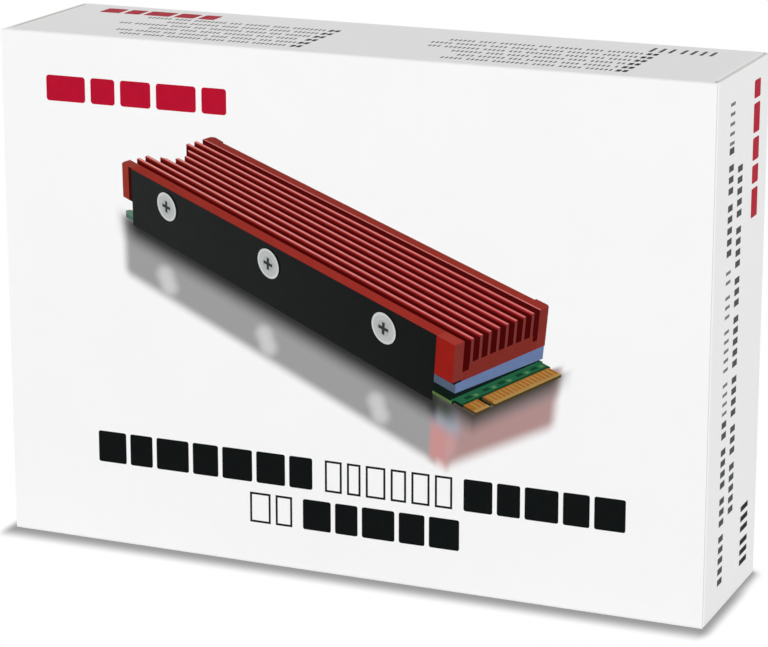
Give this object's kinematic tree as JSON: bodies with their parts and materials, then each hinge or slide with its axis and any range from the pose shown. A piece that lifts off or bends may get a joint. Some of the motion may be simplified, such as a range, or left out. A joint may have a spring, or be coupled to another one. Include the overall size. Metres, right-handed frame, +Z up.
{
  "type": "retail carton",
  "caption": "Closed white folding carton for a small finned drive cooler kit, with a tuck lid at each end and a foam tray inside.",
  "frame": {"origin": "centre of the underside of the closed carton, on the surface it stands on", "axes": "+X along the carton's length, to the right as the printed front is seen; +Y from the front panel to the back panel; +Z up"},
  "size_m": [0.12, 0.028, 0.085],
  "materials": {
    "carton_board": "smooth coated white, satin",
    "tray_foam": "closed-cell foam, matt",
    "leaflet_paper": "uncoated, matt",
    "black_metal": "black coating, satin",
    "red_metal": "red coating, satin",
    "pad_silicone": "soft silicone sheet, matt",
    "screw_steel": "bright plated",
    "handle_plastic": "smooth, slight gloss",
    "blade_steel": "plain steel"
  },
  "bodies": {
    "carton": {"carton_sleeve": "carton_board", "foam_tray": "tray_foam", "leaflet": "leaflet_paper", "base_channel": "black_metal", "fin_block": "red_metal", "lower_thermal_pad": "pad_silicone", "upper_thermal_pad": "pad_silicone", "side_screws": "screw_steel", "driver_handle": "handle_plastic", "driver_blade": "blade_steel"},
    "right_lid": {"right_tuck_lid": "carton_board"},
    "left_lid": {"left_tuck_lid": "carton_board"}
  },
  "joints": [
    {"name": "right_lid_hinge", "type": "hinge", "parent": "carton", "child": "right_lid", "pos_m": [0.05978, 0.01378, 0.0425], "axis": [0, 0, 1], "range_deg": [0, 135]},
    {"name": "left_lid_hinge", "type": "hinge", "parent": "carton", "child": "left_lid", "pos_m": [-0.05978, 0.01378, 0.0425], "axis": [0, 0, -1], "range_deg": [0, 135]}
  ]
}
